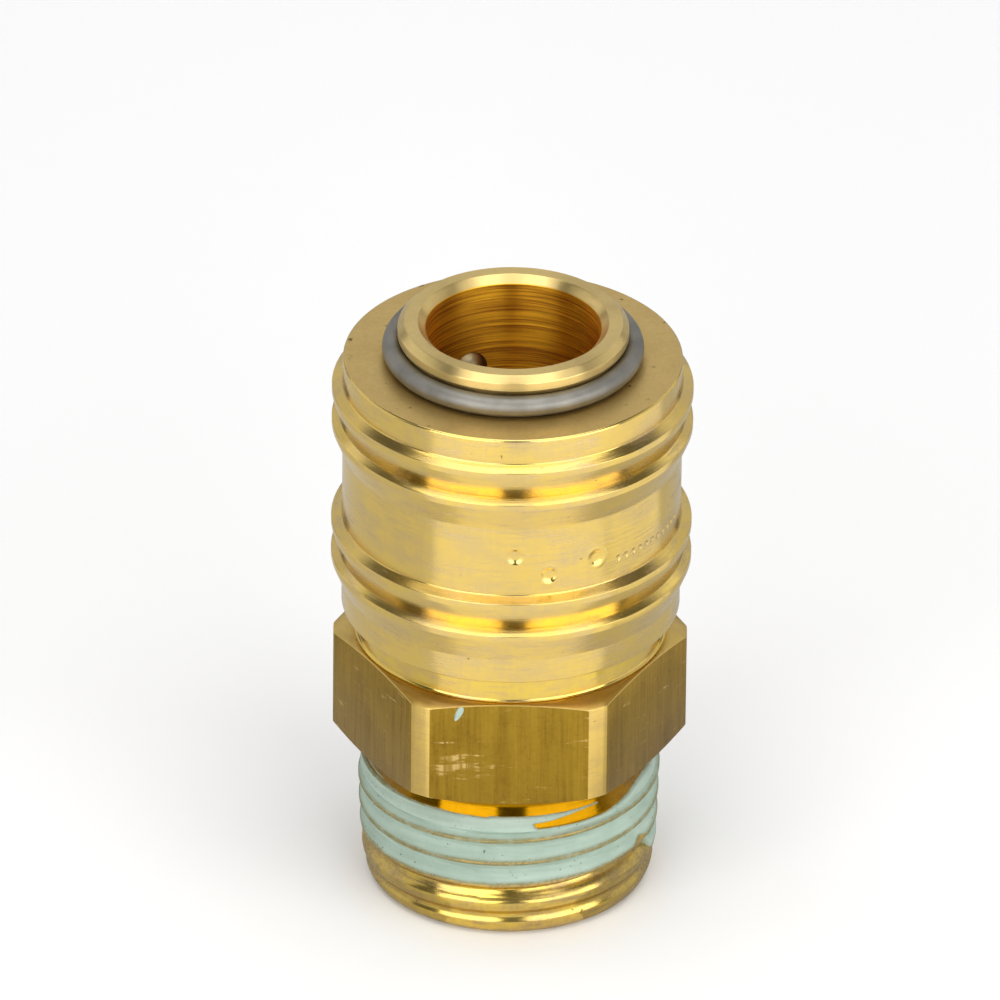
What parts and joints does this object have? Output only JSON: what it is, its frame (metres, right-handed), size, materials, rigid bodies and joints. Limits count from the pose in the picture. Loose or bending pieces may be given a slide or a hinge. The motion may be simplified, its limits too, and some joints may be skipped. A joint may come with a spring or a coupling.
{
  "type": "quick disconnect coupler",
  "caption": "Brass quick disconnect air coupler with a ribbed release sleeve, ball lock, single shut-off valve, hexagon and taper male thread.",
  "frame": {"origin": "centre of the threaded end face, on the axis of the coupler", "axes": "+Z along the axis from the threaded end to the plug mouth; one flat of the hexagon faces -Y"},
  "size_m": [0.025, 0.025, 0.0436],
  "materials": {
    "hex_brass": "drawn hexagon bar, fine lengthwise grain, light handling scratches",
    "thread_brass": "turned, bright",
    "barrel_brass": "turned, fine circular tool lines",
    "sleeve_brass": "turned, satin, fine circular tool lines, brighter rib edges",
    "valve_brass": "turned, satin",
    "ring_steel": "drawn wire, satin grey",
    "spring_steel": "drawn spring wire",
    "ball_steel": "polished bearing ball",
    "seal_rubber": "moulded nitrile, matt",
    "sealant": "dried pale green thread sealant, matt, slightly uneven"
  },
  "bodies": {
    "body": {"threaded_adapter": "hex_brass", "thread_sealant": "sealant", "barrel": "barrel_brass", "sleeve_spring": "spring_steel", "spring_washer": "spring_steel", "plug_seal": "seal_rubber", "seal_support_ring": "valve_brass", "valve_seat": "valve_brass", "valve_spring": "spring_steel", "valve_guide": "valve_brass", "guide_circlip": "spring_steel", "body_seal": "seal_rubber"},
    "ring": {"retaining_ring": "ring_steel"},
    "sleeve": {"sleeve": "sleeve_brass"},
    "valve": {"valve_poppet": "valve_brass", "valve_seal": "seal_rubber"},
    "ball_1": {"locking_ball_1": "ball_steel"},
    "ball_2": {"locking_ball_2": "ball_steel"},
    "ball_3": {"locking_ball_3": "ball_steel"},
    "ball_4": {"locking_ball_4": "ball_steel"}
  },
  "joints": [
    {"name": "sleeve_spin", "type": "hinge", "parent": "body", "child": "ring", "pos_m": [0, 0, 0.0416], "axis": [0, 0, 1], "continuous": true},
    {"name": "sleeve_slide", "type": "slide", "parent": "ring", "child": "sleeve", "axis": [0, 0, -1], "range_m": [0, 0.0017], "stiffness_N_per_m": 2500, "springref_m": -0.003, "deforming": ["sleeve_spring"]},
    {"name": "valve_slide", "type": "slide", "parent": "body", "child": "valve", "axis": [0, 0, -1], "range_m": [0, 0.004], "stiffness_N_per_m": 1000, "springref_m": -0.004, "deforming": ["valve_spring"]},
    {"name": "ball_1_slide", "type": "slide", "parent": "body", "child": "ball_1", "axis": [0.8712, 0.4909, 0], "range_m": [0, 0.0009]},
    {"name": "ball_2_slide", "type": "slide", "parent": "body", "child": "ball_2", "axis": [-0.4909, 0.8712, 0], "range_m": [0, 0.0009]},
    {"name": "ball_3_slide", "type": "slide", "parent": "body", "child": "ball_3", "axis": [-0.8712, -0.4909, 0], "range_m": [0, 0.0009]},
    {"name": "ball_4_slide", "type": "slide", "parent": "body", "child": "ball_4", "axis": [0.4909, -0.8712, 0], "range_m": [0, 0.0009]}
  ],
  "couplings": [
    {"joint": "ball_1_slide", "follows": "sleeve_slide", "ratio": 0.529},
    {"joint": "ball_2_slide", "follows": "sleeve_slide", "ratio": 0.529},
    {"joint": "ball_3_slide", "follows": "sleeve_slide", "ratio": 0.529},
    {"joint": "ball_4_slide", "follows": "sleeve_slide", "ratio": 0.529}
  ]
}
